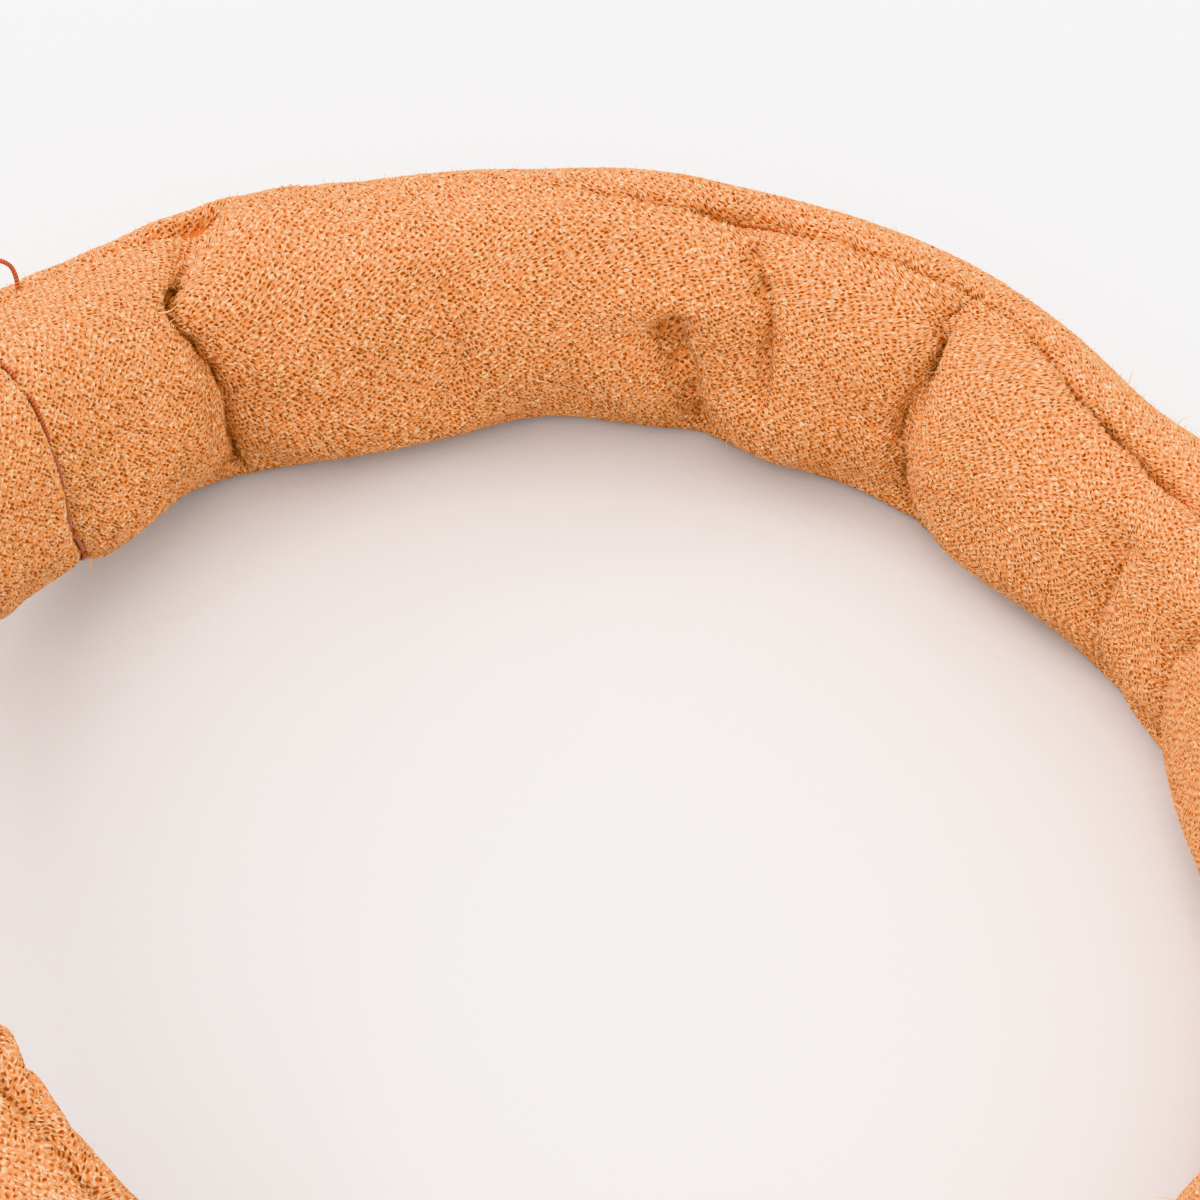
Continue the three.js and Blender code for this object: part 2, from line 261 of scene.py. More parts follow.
def broad_creases(distance, turn):
    """The wide valleys that the creases press into the padding, less the swellings between them."""
    depth = np.zeros(np.broadcast(distance, turn).shape)
    for crease in CREASES:
        offset, strength = crease_offset(crease, distance, turn)
        valley = np.where(offset < 0, np.exp(offset / NEAR_REACH), np.exp(-offset / FAR_REACH))
        depth += crease["depth"] * MM * strength * valley
    for place, at_turn, height, reach, spread in SWELLINGS:
        around = np.mod(turn - math.radians(at_turn) + np.pi, 2 * np.pi) - np.pi
        far = ((distance - place * MM) / (reach * MM)) ** 2 + (around / math.radians(spread)) ** 2
        depth -= height * MM * np.exp(-far)
    return depth


# %% [markdown]
# ## The front's padded shape
# The joints with the rear aren't square across the band. Low on the head's side each one lies further
# into the front, the left one most, and the slant fades out along the band. A cut through a finished tube
# would give the same line, but moving the points along the band keeps whole rings, which the knit needs.

# %% Slant of the joints
LEFT_SLANT, LEFT_START = 20 * MM, -2 * MM
RIGHT_SLANT, RIGHT_START = 8 * MM, 9 * MM
SLANT_FADE = 75 * MM
SLANT_TOP = math.radians(60)


def joint_slants(turn):
    """How far the left and the right joint's lines are moved into the front at each turn."""
    low_side = ((1 - np.cos(turn - SLANT_TOP)) / 2) ** 4
    return LEFT_START + LEFT_SLANT * low_side, RIGHT_START + RIGHT_SLANT * low_side


def slanted(distance, turn, length):
    """Distances along the band, moved so that both ends follow the joints' slanted lines."""
    left, right = joint_slants(turn)
    at_left = 1 - smooth(0, SLANT_FADE, distance)
    at_right = 1 - smooth(0, SLANT_FADE, length - distance)
    return distance + left * at_left - right * at_right


# %% The front's padded shape, before it is sewn and inflated
def front_points(distance, turn, raised=0.0):
    """Points of the front's skin, with the wide valleys of its creases."""
    placed = slanted(distance, turn, FRONT_LENGTH)
    middle, out, upward, _ = sections(LEFT_JOINT - placed / METRES_PER_RADIAN)
    x, y, normal = oval(turn)
    reach = raised - broad_creases(placed, turn)
    x = x * BAND_THICKNESS / 2 + reach * normal[..., 0]
    y = y * BAND_HEIGHT / 2 + reach * normal[..., 1]
    return middle + out * x[..., None] + upward * y[..., None]


SIM_SPACING = 2.4 * MM
sim_rings = round(FRONT_LENGTH / SIM_SPACING) + 1
sim_around = round(SECTION_LENGTH / SIM_SPACING)
sim_turns, _ = even_turns(sim_around)
sim_distances = np.linspace(0, FRONT_LENGTH, sim_rings)
slack = front_points(sim_distances[:, None], sim_turns[None, :], raised=-0.4 * MM)
print("front starts as", slack.shape[:2], "points")


# %% Mesh helpers
def grid_faces(rings, around, first=0):
    """Quads between neighbouring rings, wound so that they face outward."""
    ring, place = np.meshgrid(np.arange(rings - 1), np.arange(around), indexing="ij")
    after = (place + 1) % around
    here, beyond = ring * around, (ring + 1) * around
    corners = [here + place, beyond + place, beyond + after, here + after]
    return first + np.stack(corners, -1).reshape(-1, 4)


def new_mesh(name, points, faces):
    mesh = bpy.data.meshes.new(name)
    mesh.from_pydata(np.asarray(points).reshape(-1, 3).tolist(), [], [list(map(int, f)) for f in faces])
    mesh.validate()
    mesh.shade_smooth()
    return mesh


def new_object(name, mesh):
    thing = bpy.data.objects.new(name, mesh)
    bpy.context.scene.collection.objects.link(thing)
    return thing


# %% [markdown]
# ## Filling the front
# Sculpting or subdivision could round the panels between the creases, but cloth does it as the real
# cover does: pressure from inside blows up what isn't held. The seam, the joints, the strip underneath
# and the bottoms of the creases are held, and everything between them swells by a millimetre or two.
# Bare cloth also wrinkles finely, which cloth over sponge doesn't, so the swelling is smoothed and capped
# before it is used.

# %% What holds the cloth
HELD_STRIP = math.radians(22)
HELD_SEAM = math.radians(3)
HOLDING_DEPTH = 4  # a crease this many millimetres deep holds the cloth fully


def held_weights():
    """1 where sewing, a crease or the table holds the cloth, and 0 where it is free."""
    turn = np.mod(sim_turns, 2 * np.pi)[None, :]
    distance = sim_distances[:, None]
    ends = np.minimum(distance, FRONT_LENGTH - distance) < SIM_SPACING
    seam = np.abs(turn - math.pi / 2) < HELD_SEAM
    under = np.abs(turn - 1.5 * math.pi) < HELD_STRIP
    held = np.maximum(np.maximum(1.0 * ends, 1.0 * seam), 1.0 * under)
    for crease in CREASES:
        offset, strength = crease_offset(crease, slanted(distance, turn, FRONT_LENGTH), turn)
        pull = strength * (crease["depth"] / HOLDING_DEPTH) * (np.abs(offset) < 0.7 * SIM_SPACING)
        held = np.maximum(held, pull)
    return np.clip(held, 0, 1)


# %% Inflate the cloth
SIM_FRAMES = 20


def inflate(points, held):
    """Blows the cloth up from inside by a cloth simulation, and gives back its points."""
    rings, around = points.shape[:2]
    cloth_object = new_object("inflating", new_mesh("inflating", points, grid_faces(rings, around)))
    group = cloth_object.vertex_groups.new(name="held")
    for index, weight in enumerate(held.ravel()):
        if weight > 0:
            group.add([index], float(weight), "REPLACE")
    cloth = cloth_object.modifiers.new("cloth", "CLOTH")
    settings = cloth.settings
    settings.quality = 6
    settings.vertex_group_mass = "held"
    settings.pin_stiffness = 1.0
    settings.tension_stiffness = settings.compression_stiffness = 12
    settings.shear_stiffness = 4
    settings.bending_stiffness = 3.0
    settings.shrink_min = -0.02
    settings.use_pressure = True
    settings.uniform_pressure_force = 4
    settings.effector_weights.gravity = 0
    cloth.collision_settings.use_collision = False
    cloth.point_cache.frame_end = SIM_FRAMES
    for step in range(1, SIM_FRAMES + 1):
        bpy.context.scene.frame_set(step)
    final = cloth_object.evaluated_get(bpy.context.evaluated_depsgraph_get()).data
    moved = np.zeros(len(final.vertices) * 3)
    final.vertices.foreach_get("co", moved)
    bpy.data.objects.remove(cloth_object)
    bpy.context.scene.frame_set(1)
    return moved.reshape(points.shape)


# %% Smooth and cap the swelling
SOFTENING = 7
SWELLING_LIMIT = 3 * MM


def softened(move):
    """Takes the smallest wrinkles out of a move, since the sponge behind the cloth would."""
    for _ in range(SOFTENING):
        ends = np.concatenate([move[:1], move, move[-1:]])
        move = (ends[:-2] + 2 * move + ends[2:]) / 4
        move = (np.roll(move, 1, axis=1) + 2 * move + np.roll(move, -1, axis=1)) / 4
    return move


def capped(before, after, limit):
    """Softens the cloth's move, and lets no point go further than limit."""
    move = softened(after - before)
    far = np.linalg.norm(move, axis=-1, keepdims=True)
    return before + move * np.minimum(1, limit / np.maximum(far, 1e-9))


padded = slack
padded = capped(slack, inflate(slack, held_weights()), SWELLING_LIMIT)
swell = np.linalg.norm(padded - slack, axis=-1)
print(f"cloth moved {swell.mean() / MM:.2f} mm on average, {swell.max() / MM:.2f} mm at most")

# %% [markdown]
# ## The knit
# The cloth is a fine terry knit: staggered rows of loops with a small dark gap between each four. Bump
# alone would leave its edges smooth against the light, so the skin's grid has one point for each gap and
# one for each loop, and every second point is pressed in. A shader adds the finer yarn.

# %% Knit grid
KNIT_ALONG = 1.13 * MM
KNIT_ACROSS = 0.94 * MM
GAP_DEPTH = 0.20 * MM
LOOP_RISE = 0.10 * MM
around_count = 2 * round(SECTION_LENGTH / KNIT_ACROSS)
front_rings = 3 * round(FRONT_LENGTH / KNIT_ALONG) + 1


def resampled(values, count, closed):
    """Values along the first axis, on a smooth curve through them, at count even places."""
    old = len(values)
    place = np.arange(count) * (old / count if closed else (old - 1) / (count - 1))
    first = np.minimum(np.floor(place).astype(int), old - 1 if closed else old - 2)
    t = (place - first).reshape(-1, *[1] * (values.ndim - 1))
    wrap = (lambda i: i % old) if closed else (lambda i: np.clip(i, 0, old - 1))
    a, b, c, d = (values[wrap(first + k)] for k in (-1, 0, 1, 2))
    return b + t / 2 * (c - a + t * (2 * a - 5 * b + 4 * c - d + t * (3 * (b - c) + d - a)))


def finer(grid, rings, around):
    along = resampled(grid, rings, closed=False)
    return resampled(along.swapaxes(0, 1), around, closed=True).swapaxes(0, 1)


def grid_normals(grid):
    along = np.gradient(grid, axis=0)
    across = np.roll(grid, -1, axis=1) - np.roll(grid, 1, axis=1)
    return unit(np.cross(along, across))


def knit_relief(rings, around, seed):
    """Height of each point of the knit: gaps pressed in, loops raised, all a little uneven."""
    ring, place = np.meshgrid(np.arange(rings), np.arange(around), indexing="ij")
    uneven = np.random.default_rng(seed).uniform(0.6, 1.4, ring.shape)
    return np.where((ring + place) % 2 == 0, -GAP_DEPTH, LOOP_RISE) * uneven


# %% [markdown]
# ## Sewn lines
# What is narrower than the cloth simulation's grid comes after it: the tight line of each crease and its
# overhanging lip, the long seam's groove, which dips at each stitch, and the rounded ends at the joints.
# Cutting grooves with a boolean would leave sharp edges and break the grid, so points are pushed in
# instead, by smooth formulas of their distance and turn.

# %% Rounded ends
END_ROUNDING = 3.5 * MM
END_DEPTH = 2.0 * MM


def end_depth(distance, length):
    """How far a tube's skin has turned in near its ends."""
    near = np.clip(np.minimum(distance, length - distance) / END_ROUNDING, 0, 1)
    return END_DEPTH * (1 - np.sqrt(1 - (1 - near) ** 2))


# %% The long seam's groove
STITCH = 8.5 * MM
STITCH_DRIFT = 2 * MM
SEAM_DEPTH = 3.2 * MM
SEAM_WIDTH = 1.0 * MM
SEAM_VALLEY = 0.9 * MM
SEAM_PUCKER = 0.5 * MM
SEAM_RIDGE = 0.6 * MM
SEAM_END = 8 * MM

# The seam wanders from the outer side to the head's side and back: distance and wander in millimetres.
SEAM_WANDER = [(0, -6), (30, -8), (60, -8), (77, -6.5), (94, -1.4), (106, -0.9), (116, -1.2), (127, -1.3),
               (144, -2.2), (150, -1.6), (156, 0.8), (162, 3.6), (170, 5.6), (178, 6), (185, 4.6), (215, 2),
               (250, 0), (300, 1.2), (345, 0.4), (400, 3), (450, 7)]


def seam_wander(table, distance):
    return np.interp(distance / MM, *np.array(table, float).T) * MM


def long_seam_depth(distance, across, length, deepest=SEAM_DEPTH):
    """Depth of the groove on top, the valley it lies in, and the puckers that each stitch pulls."""
    stitch = np.cos(np.pi * (distance + STITCH_DRIFT * ripples(distance, 45 * MM, 3)) / STITCH) ** 2
    groove = deepest * (0.45 + 0.55 * stitch) * np.exp(-(across / SEAM_WIDTH) ** 2)
    sides = (SEAM_VALLEY + SEAM_PUCKER * stitch) * np.exp(-np.abs(across) / (3 * SEAM_WIDTH))
    ridge = SEAM_RIDGE * np.exp(-((across + 2.3 * SEAM_WIDTH) / SEAM_WIDTH) ** 2)
    return (groove + sides - ridge) * smooth(0, SEAM_END, np.minimum(distance, length - distance))


# %% The creases' tight lines and lips
CREASE_LINE_WIDTH = 1.8 * MM
CREASE_LINE_DEPTH = 0.7
LIP_REACH = 2 * MM
LIP_SWELL = 0.25


def crease_lines(distance, turn):
    """Depth of the tight lines at the creases' bottoms, and the move along the band that rolls a lip."""
    depth = np.zeros(np.broadcast(distance, turn).shape)
    move = np.zeros_like(depth)
    for crease in CREASES:
        offset, strength = crease_offset(crease, distance, turn)
        tight = math.radians(crease.get("tight", 0))
        strength = strength * smooth(tight - TURN_FADE / 2, tight + TURN_FADE / 2, np.mod(turn, 2 * np.pi))
        line = np.exp(-np.abs(offset) / CREASE_LINE_WIDTH)
        depth += CREASE_LINE_DEPTH * crease["depth"] * MM * strength * line
        past = np.clip(offset / LIP_REACH, 0, None)
        roll = past * np.exp(1 - past)
        move -= crease["side"] * crease["lip"] * MM * strength * roll
        depth -= LIP_SWELL * crease["lip"] * MM * strength * past ** 2 * np.exp(2 - 2 * past)
    return depth, move


# %% [markdown]
# The cloth's inside gets far fewer rings than its outside, and must not show through it. So it follows
# the smooth shape under the deepest crease or seam within its own step, instead of every small dip.

# %% How deep the lining has to lie
LINING_STEP = 6
NEAR_ROUND = 4


def deepest_near(depth):
    """The greatest depth within a lining's step of each point along the band, and a little way round."""
    deepest = depth
    for shift in range(1, LINING_STEP + 1):
        before = np.concatenate([depth[:1].repeat(shift, 0), depth[:-shift]])
        after = np.concatenate([depth[shift:], depth[-1:].repeat(shift, 0)])
        deepest = np.maximum(deepest, np.maximum(before, after))
    return np.max([np.roll(deepest, shift, axis=1) for shift in range(-NEAR_ROUND, NEAR_ROUND + 1)], axis=0)


# %% Sew the skin
INSIDE_SHARE = 0.45


def sewn(points, distance, turn, across, length):
    """The skin with its fine lines, and how deep its smooth points must go to stay under them."""
    normals = grid_normals(points)
    along = unit(np.gradient(points, axis=0))
    placed = slanted(distance, turn, length)
    depth, move = crease_lines(placed, turn)
    sewing = end_depth(distance, length) + long_seam_depth(distance, across, length)
    skin = points - normals * (depth + sewing)[..., None] + along * move[..., None]
    under = np.clip(depth, 0, None) + INSIDE_SHARE * np.clip(broad_creases(placed, turn), 0, None) + sewing
    return skin, normals, deepest_near(under)


def along_seam(skin, wander):
    """The skin's points at the bottom of the long seam's groove, and the ways up from them."""
    place = np.mod(-wander[:, 0] / SECTION_LENGTH * skin.shape[1], skin.shape[1])
    first = np.floor(place).astype(int)
    share = (place - first)[:, None]
    ring = np.arange(len(skin))
    normals = grid_normals(skin)
    second = (first + 1) % skin.shape[1]
    line = skin[ring, first] * (1 - share) + skin[ring, second] * share
    upward = normals[ring, first] * (1 - share) + normals[ring, second] * share
    return line, unit(upward)


# %% [markdown]
# A groove or a lip stretches the grid, and the knit on it would look stretched too. A remesh would lose
# the rings, so the points slide along their own lines until they are evenly spaced again.

# %% Even out the grid
EVEN_REACH = 8  # lines on each side that share their spacing, so that the knit isn't sheared
EVEN_LINE = 30  # of a hundred lines, how many are shorter than the one that sets the knit's pitch


def evened(grid, rings=None):
    """The same skin with its points evenly spaced along every line, however deep its creases are."""
    step = np.linalg.norm(np.diff(grid, axis=0), axis=-1)
    step = sum(np.roll(step, k, axis=1) for k in range(-EVEN_REACH, EVEN_REACH + 1)) / (2 * EVEN_REACH + 1)
    walked = np.concatenate([np.zeros((1, grid.shape[1])), np.cumsum(step, axis=0)])
    rings = rings or 2 * round(np.percentile(walked[-1], EVEN_LINE) / KNIT_ALONG) + 1
    share = np.linspace(0, 1, rings)
    result = np.empty((rings, grid.shape[1], 3))
    for j in range(grid.shape[1]):
        for k in range(3):
            result[:, j, k] = np.interp(share * walked[-1, j], walked[:, j], grid[:, j, k])
    return result


def evened_round(grid):
    """The same skin with its points evenly spaced round every section, down into the long seam too."""
    turned = np.concatenate([grid, grid[:, :1]], axis=1).swapaxes(0, 1)
    return evened(turned, len(turned)).swapaxes(0, 1)[:, :-1]


# %% Build the front's skin
LOWEST = 0.2 * MM  # above the table
fine_turns, _ = even_turns(around_count)
fine_turns = fine_turns[None, :]
across_at = np.arange(around_count) / around_count * SECTION_LENGTH
seam_across = np.where(across_at > SECTION_LENGTH / 2, across_at - SECTION_LENGTH, across_at)[None, :]
front_distances = np.linspace(0, FRONT_LENGTH, front_rings)[:, None]
front_wander = seam_wander(SEAM_WANDER, front_distances)

front_smooth = finer(padded, front_rings, around_count)
front_skin, front_normals, front_under = sewn(
    front_smooth, front_distances, fine_turns, seam_across + front_wander, FRONT_LENGTH)
front_seam_line, front_seam_up = along_seam(front_skin, front_wander)
front_skin = evened(evened_round(front_skin))
front_skin[..., 2] = np.maximum(front_skin[..., 2], LOWEST)
print("front skin", front_skin.shape[:2], "points, lowest", round(front_skin[..., 2].min() / MM, 2), "mm")

# %% [markdown]
# ## From skin to cloth
# A cover is cloth with a thickness, not a paper surface. Solidify would double its triangles, so the
# inside gets its own, coarser rings, joined to the outside along both open ends.

# %% Cloth with a wall
CLOTH = 1.0 * MM


def cloth_tube(name, skin, lining, relief):
    """A closed shell: the skin with its knit outside, and a coarse lining inside."""
    rings, around = skin.shape[:2]
    outside = skin + grid_normals(skin) * relief[..., None]
    kept = np.unique(np.append(np.arange(0, len(lining), LINING_STEP), len(lining) - 1))
    inside = lining[kept]
    count = outside.shape[0] * around
    outer_faces = grid_faces(rings, around)
    inner_faces = grid_faces(len(kept), around, count)[:, ::-1]
    place = np.arange(around)
    after = (place + 1) % around
    last_out, last_in = (rings - 1) * around, count + (len(kept) - 1) * around
    near_rim = np.stack([place, after, count + after, count + place], -1)
    far_rim = np.stack([last_out + place, last_in + place, last_in + after, last_out + after], -1)
    faces = np.concatenate([outer_faces, inner_faces, near_rim, far_rim])
    points = np.concatenate([outside.reshape(-1, 3), inside.reshape(-1, 3)])
    thing = new_object(name, new_mesh(name, points, faces))
    place_knit(thing.data, rings, around)
    mark_outside(thing, len(outer_faces))
    return thing


def mark_outside(thing, count):
    """Marks the faces of the cloth's outside, where fuzz may grow."""
    outside = thing.data.attributes.new("outside", "BOOLEAN", "FACE")
    outside.data.foreach_set("value", np.arange(len(thing.data.polygons)) < count)
    thing["outside_faces"] = count


def place_knit(mesh, rings, around):
    """A UV map in metres along and across the cloth, so that the knit follows the skin."""
    layer = mesh.uv_layers.new(name="knit")
    ring, place = np.divmod(np.arange((rings - 1) * around), around)
    ring_at = np.stack([ring, ring + 1, ring + 1, ring], -1)
    place_at = np.stack([place, place, place + 1, place + 1], -1)
    outer = np.stack([ring_at * KNIT_ALONG / 2, place_at * KNIT_ACROSS / 2], -1).reshape(-1, 2)
    uv = np.zeros((len(mesh.loops), 2), np.float32)
    uv[: len(outer)] = outer
    layer.uv.foreach_set("vector", uv.ravel())


front_lining = front_smooth - front_normals * (front_under + CLOTH)[..., None]
front_relief = knit_relief(len(front_skin), around_count, seed=11)
front = cloth_tube("padded_front_cover", front_skin, front_lining, front_relief)
print("front cover", len(front.data.polygons), "faces")

# %% [markdown]
# ## The sponge
# The sponge is pressed against the cover, so it takes the cover's creases, a cloth's thickness further
# in. It is out of sight, and a coarse grid is enough.

# %% Sponge core
FOAM_SHORT = 13 * MM
FOAM_EASE = 0.6 * MM
FOAM_RING_STEP = 6
FOAM_ROUND_STEP = 4


def closed_rod(name, grid):
    """A solid round rod from rings of points, with a flat end at each side."""
    rings, around = grid.shape[:2]
    ends = np.stack([grid[0].mean(0), grid[-1].mean(0)])
    points = np.concatenate([grid.reshape(-1, 3), ends])
    first, last = rings * around, rings * around + 1
    place = np.arange(around)
    after = (place + 1) % around
    offset = (rings - 1) * around
    near_end = [[first, b, a] for a, b in zip(place, after)]
    far_end = [[last, offset + a, offset + b] for a, b in zip(place, after)]
    return new_object(name, new_mesh(name, points, grid_faces(rings, around).tolist() + near_end + far_end))


inner = front_smooth - front_normals * (front_under + CLOTH + FOAM_EASE)[..., None]
foam_skip = round(FOAM_SHORT / FRONT_LENGTH * len(inner))
sponge = closed_rod("sponge_core", inner[foam_skip:-foam_skip:FOAM_RING_STEP, ::FOAM_ROUND_STEP])
print("sponge", len(sponge.data.polygons), "faces")

# %% [markdown]
# ## The gathered rear
# The sleeve is half as long again as the elastic inside it, so it gathers into small folds across the
# band. They follow a rule, a wave whose phase drifts round the section, so a formula makes them. Folds
# that were all alike would look like a bellows: the drift lets them wander, merge and end.

# %% The sleeve's taper and folds
FOLD = 6.4 * MM
FOLD_HEIGHT = 1.25 * MM
FOLD_VALLEY = 0.75 * MM
FOLD_START = 8 * MM
FOLD_FULL = 34 * MM


def rear_taper(distance):
    """How much thinner and lower the sleeve is than the front, as shares of the band's size."""
    narrowing = np.sin(np.pi * np.clip(distance / REAR_LENGTH, 0, 1)) ** 2
    thick = 1 + (REAR_THICKNESS / BAND_THICKNESS - 1) * narrowing
    tall = 1 + (REAR_HEIGHT / BAND_HEIGHT - 1) * narrowing
    return thick, tall


def gathers(distance, turn):
    """Height of the small folds that the elastic pulls the sleeve into."""
    drift = 0.35 * ripples(turn * METRES_PER_RADIAN / 3, 31 * MM, 5) + 0.3 * ripples(distance, 40 * MM, 6)
    cross = 0.25 * np.sin(turn * 3 + distance / (9 * MM)) + 0.2 * np.sin(turn * 5 - distance / (6 * MM))
    wave = np.sin(2 * np.pi * (distance / FOLD + drift + cross))
    height = FOLD_HEIGHT - (FOLD_HEIGHT + FOLD_VALLEY) * (1 - (wave + 1) / 2) ** 1.6
    return height * smooth(FOLD_START, FOLD_FULL, np.minimum(distance, REAR_LENGTH - distance))


# %% The sleeve's shape
def rear_points(distance, turn, folds):
    """Points of the sleeve's skin. Distance runs clockwise from the right joint."""
    left, right = joint_slants(turn)
    at_right = 1 - smooth(0, REAR_LENGTH / 2, distance)
    at_left = 1 - smooth(0, REAR_LENGTH / 2, REAR_LENGTH - distance)
    placed = distance + left * at_left - right * at_right
    middle, out, upward, _ = sections(RIGHT_JOINT - placed / METRES_PER_RADIAN)
    thick, tall = rear_taper(distance)
    x, y, normal = oval(turn)
    reach = folds - end_depth(distance, REAR_LENGTH)
    x = x * BAND_THICKNESS / 2 * thick + reach * normal[..., 0]
    y = y * BAND_HEIGHT / 2 * tall + reach * normal[..., 1]
    return middle + out * x[..., None] + upward * y[..., None]


# %% [markdown]
# The long seam goes on over the sleeve. Near the right joint it is deep, but across the gathers a deep
# groove would tear through the folds, so it grows shallow on its way to the left joint. The groove and
# the lining are worked out from the smooth sleeve, whose normals don't swing about as the folds' do.

# %% Build the gathered sleeve
GATHER = 1.5
JOINT_GAP = 0.3 * MM  # between the two tubes' ends
REAR_SEAM_WANDER = [(0, 8.6), (36, 8.6), (75, 0), (120, -6)]
REAR_SEAM_DEPTH = 4.6 * MM
REAR_SEAM_LESS = 3.2 * MM
LESS_FROM, LESS_TO = 36 * MM, 55 * MM
rear_rings = 2 * round(REAR_LENGTH * GATHER / KNIT_ALONG) + 1
rear_distances = np.linspace(JOINT_GAP, REAR_LENGTH - JOINT_GAP, rear_rings)[:, None]
rear_smooth = rear_points(rear_distances, fine_turns, 0.0)
rear_normals = grid_normals(rear_smooth)
rear_wander = seam_wander(REAR_SEAM_WANDER, rear_distances)
rear_groove = REAR_SEAM_DEPTH - REAR_SEAM_LESS * smooth(LESS_FROM, LESS_TO, rear_distances)
rear_depth = long_seam_depth(rear_distances, seam_across + rear_wander, REAR_LENGTH, rear_groove)
rear_under = deepest_near(rear_depth) + FOLD_VALLEY
rear_skin = rear_points(rear_distances, fine_turns, gathers(rear_distances, fine_turns))
rear_skin = rear_skin - rear_normals * rear_depth[..., None]
rear_lining = rear_smooth - rear_normals * (rear_under + CLOTH)[..., None]
rear_seam_line, rear_seam_up = along_seam(rear_skin, rear_wander)
rear_skin = evened(evened_round(rear_skin))
rear_relief = knit_relief(len(rear_skin), around_count, seed=12)
rear = cloth_tube("gathered_rear_sleeve", rear_skin, rear_lining, rear_relief)
print("rear sleeve", len(rear.data.polygons), "faces")

# %% [markdown]
# ## Thread
# The joints are closed by hand with long stitches that lie in the groove and dive into the cloth at each
# end. A curve with a round bevel would do, and a swept ring of points gives the same tube with its ends
# closed and its length known.

# %% Thread helpers
THREAD_SIDES = 8
DIVE_WIDTH = 0.8 * MM


def walked_along(points):
    """How far along a line each of its points is."""
    return np.concatenate([[0], np.cumsum(np.linalg.norm(np.diff(points, axis=0), axis=1))])


def thread(name, points, radius):
    """A round, closed tube along a line of points."""
    points = np.asarray(points)
    along = unit(np.gradient(points, axis=0))
    side = np.zeros_like(points)
    guess = np.array([0.3, 0.5, 0.8])
    for i, direction in enumerate(along):
        guess = guess - direction * (guess @ direction)
        guess = guess / np.linalg.norm(guess)
        side[i] = guess
    third = np.cross(along, side)
    turn = np.arange(THREAD_SIDES) * 2 * np.pi / THREAD_SIDES
    ring = side[:, None] * np.cos(turn)[None, :, None] - third[:, None] * np.sin(turn)[None, :, None]
    tube = closed_rod(name, points[:, None] + radius * ring)
    place_thread(tube.data, len(points), walked_along(points))
    return tube


def place_thread(mesh, rings, walked):
    """A UV map in metres along the thread, and once round it."""
    layer = mesh.uv_layers.new(name="knit")
    ring, place = np.divmod(np.arange((rings - 1) * THREAD_SIDES), THREAD_SIDES)
    ring_at = walked[np.stack([ring, ring + 1, ring + 1, ring], -1)]
    place_at = np.stack([place, place, place + 1, place + 1], -1) / THREAD_SIDES
    uv = np.zeros((len(mesh.loops), 2), np.float32)
    uv[: ring.size * 4] = np.stack([ring_at, place_at], -1).reshape(-1, 2)
    layer.uv.foreach_set("vector", uv.ravel())


def line_between(rim_a, rim_b, start_turn, end_turn, count):
    """A line in the groove between two rims, from one turn round the section to another."""
    turns = np.linspace(start_turn, end_turn, count)
    order = np.argsort(fine_turns[0])
    wrapped = (turns - fine_turns[0].min()) % (2 * np.pi) + fine_turns[0].min()
    rim = (rim_a + rim_b) / 2
    known = fine_turns[0][order]
    return np.stack([np.interp(wrapped, known, rim[order, k], period=2 * np.pi) for k in range(3)], -1)


def stitched(line, outward, raised, dip):
    """Raises a line above the groove's bottom and dips it at each stitch's end."""
    phase = (walked_along(line) / STITCH) % 1
    dive = np.exp(-(np.minimum(phase, 1 - phase) * STITCH / DIVE_WIDTH) ** 2)
    return line + outward * (raised - dip * dive)[:, None]


# %% Lines of the two joints
JOINT_FROM, JOINT_TO = math.radians(70), math.radians(-262)
JOINT_POINTS = 400
JOINT_RAISED, JOINT_DIP = 0.9 * MM, 1.5 * MM


def front_axis(ring):
    """The direction along the band at one of the front's ends."""
    neighbour = 1 if ring == 0 else -2
    return unit((front_skin[neighbour] - front_skin[ring]).mean(0))


def joint_line(front_ring, rear_ring):
    """The thread's line in a joint's groove, from one side of the long seam round to the other."""
    rims = front_skin[front_ring], rear_skin[rear_ring]
    line = line_between(*rims, JOINT_FROM, JOINT_TO, JOINT_POINTS)
    centre = line.mean(0)
    tangent = unit(np.gradient(line, axis=0))
    normal = unit(np.cross(front_axis(front_ring), tangent))
    outward = normal * np.sign(((line - centre) * normal).sum(1).mean())
    return stitched(line, outward, JOINT_RAISED, JOINT_DIP)


left_line = joint_line(0, -1)
right_line = joint_line(-1, 0)

# %% [markdown]
# The left joint's thread ends in a small loose loop that stands up from the cloth. Its shape has no rule,
# so its points are listed, as a distance from the joint and a height over the cloth.

# %% The loose loop, and the joints' threads
JOINT_THREAD_RADIUS = 0.3 * MM
LOOP_TURN = math.radians(72)
LOOP_SHAPE = [(0, 0), (3, 0.7), (6, 1.6), (7.6, 3.2), (9.2, 4.4), (11.4, 4.6), (13.2, 3.4), (13.8, 1.6),
              (14, -0.4)]
LOOP_POINTS = 40
loop_column = np.argmin(np.abs(np.mod(fine_turns[0] - LOOP_TURN + np.pi, 2 * np.pi) - np.pi))
loop_rings = [round(reach * MM / FRONT_LENGTH * (front_rings - 1)) for reach, _ in LOOP_SHAPE]
loop_feet = front_smooth[loop_rings, loop_column]
loop_heights = np.array([height for _, height in LOOP_SHAPE])[:, None] * MM
loose_end = loop_feet + front_normals[loop_rings, loop_column] * loop_heights
loose_loop = resampled(loose_end[:0:-1], LOOP_POINTS, closed=False)
left_points = np.concatenate([loose_loop[:-1], left_line])
left_thread = thread("left_joint_stitches", left_points, JOINT_THREAD_RADIUS)
right_thread = thread("right_joint_stitches", right_line, JOINT_THREAD_RADIUS)


